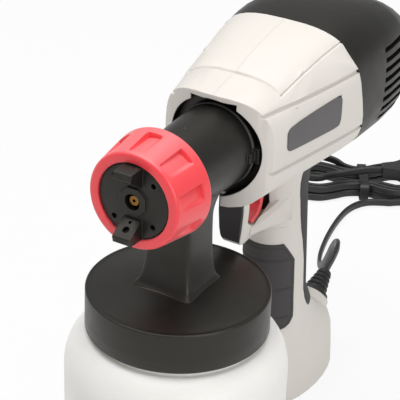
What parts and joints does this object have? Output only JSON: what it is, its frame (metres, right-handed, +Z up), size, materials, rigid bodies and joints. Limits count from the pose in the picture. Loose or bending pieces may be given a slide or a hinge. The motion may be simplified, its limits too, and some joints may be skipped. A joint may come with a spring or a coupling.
{
  "type": "handheld paint sprayer",
  "caption": "Handheld corded paint sprayer: turbine body with pistol grip and trigger guard, twist-off spray head with round paint jar below, air cap with nut, folded mains lead.",
  "frame": {"origin": "centre of the paint jar's flat base, on the table", "axes": "+Z up along the jar's axis; the gun sprays towards -Y, its handle and lead lie towards +Y; +X is the gun's left side"},
  "size_m": [0.188, 0.4946, 0.2524],
  "materials": {
    "black_plastic": "fine satin texture, moulded",
    "jar_plastic": "translucent milky moulding",
    "beige_shell": "warm light grey-beige, fine spark texture",
    "red_nut": "bright red moulding, semi-gloss",
    "grip_rubber": "soft matt over-mould",
    "brass": "turned",
    "steel": "bright",
    "bearing_steel": "ground",
    "laminations": "stacked electrical steel",
    "copper": "enamelled copper wire",
    "carbon": "pressed carbon",
    "clear_tube": "translucent",
    "label_grey": "bare dark grey plate",
    "fan_plastic": "glass-filled moulding",
    "lead_pvc": "flexible PVC sheath"
  },
  "bodies": {
    "body": {"housing_left": "beige_shell", "housing_right": "beige_shell", "shell_screws": "steel", "rear_cover": "black_plastic", "air_filter": "grip_rubber", "label_plate_left": "label_grey", "label_plate_right": "label_grey", "guard_pad": "black_plastic", "front_grip": "grip_rubber", "rear_grip": "grip_rubber", "trigger_pins": "steel", "switch_body": "black_plastic", "air_duct": "black_plastic", "duct_seal": "grip_rubber", "motor_field": "laminations", "field_windings": "copper", "motor_frame": "black_plastic", "carbon_brushes": "carbon", "front_bearing": "bearing_steel", "rear_bearing": "bearing_steel", "motor_rings": "grip_rubber", "fan_shroud": "black_plastic", "lead_wires": "lead_pvc", "strain_relief": "lead_pvc", "cord_clamp": "black_plastic", "mains_cord": "lead_pvc", "cord_hank": "lead_pvc", "cord_tie": "black_plastic", "plug": "black_plastic", "plug_pins": "steel"},
    "head": {"spray_head": "black_plastic", "fluid_body": "black_plastic", "suction_tube": "clear_tube", "check_valve": "clear_tube", "head_seal": "grip_rubber", "fluid_nozzle": "brass", "packing_nut": "brass", "lid_gasket": "grip_rubber"},
    "jar_body": {"jar": "jar_plastic"},
    "nut": {"cap_nut": "red_nut"},
    "aircap": {"air_cap": "black_plastic"},
    "needle_rod": {"needle": "steel", "needle_spring": "steel"},
    "trigger_lever": {"trigger": "red_nut", "trigger_spring": "steel"},
    "button": {"switch_button": "fan_plastic"},
    "rotor": {"armature": "laminations", "armature_windings": "copper", "fan": "fan_plastic", "fan_nut": "steel"}
  },
  "joints": [
    {"name": "head_twist", "type": "hinge", "parent": "body", "child": "head", "pos_m": [0, 0.04, 0.2025], "axis": [0, 1, 0], "range_deg": [0, 42]},
    {"name": "jar_twist", "type": "hinge", "parent": "head", "child": "jar_body", "pos_m": [0, 0, 0.12], "axis": [0, 0, 1], "range_deg": [0, 360]},
    {"name": "cap_nut_turn", "type": "hinge", "parent": "head", "child": "nut", "pos_m": [0, -0.03, 0.2025], "axis": [0, 1, 0], "range_deg": [0, 360]},
    {"name": "air_cap_turn", "type": "hinge", "parent": "head", "child": "aircap", "pos_m": [0, -0.04, 0.2025], "axis": [0, 1, 0], "range_deg": [-90, 90]},
    {"name": "needle_draw", "type": "slide", "parent": "head", "child": "needle_rod", "axis": [0, 1, 0], "range_m": [0, 0.0028]},
    {"name": "trigger_pull", "type": "hinge", "parent": "body", "child": "trigger_lever", "pos_m": [0, 0.058, 0.2225], "axis": [1, 0, 0], "range_deg": [0, 8], "stiffness_Nm_per_rad": 0.6, "springref_deg": -8.02},
    {"name": "switch_press", "type": "slide", "parent": "body", "child": "button", "axis": [0, 1, 0], "range_m": [0, 0.0012]},
    {"name": "rotor_spin", "type": "hinge", "parent": "body", "child": "rotor", "pos_m": [0, 0.1, 0.21], "axis": [0, 1, 0], "continuous": true}
  ],
  "couplings": [
    {"joint": "needle_draw", "follows": "trigger_pull", "m_per_rad": 0.020049},
    {"joint": "switch_press", "follows": "trigger_pull", "m_per_rad": 0.008589}
  ]
}
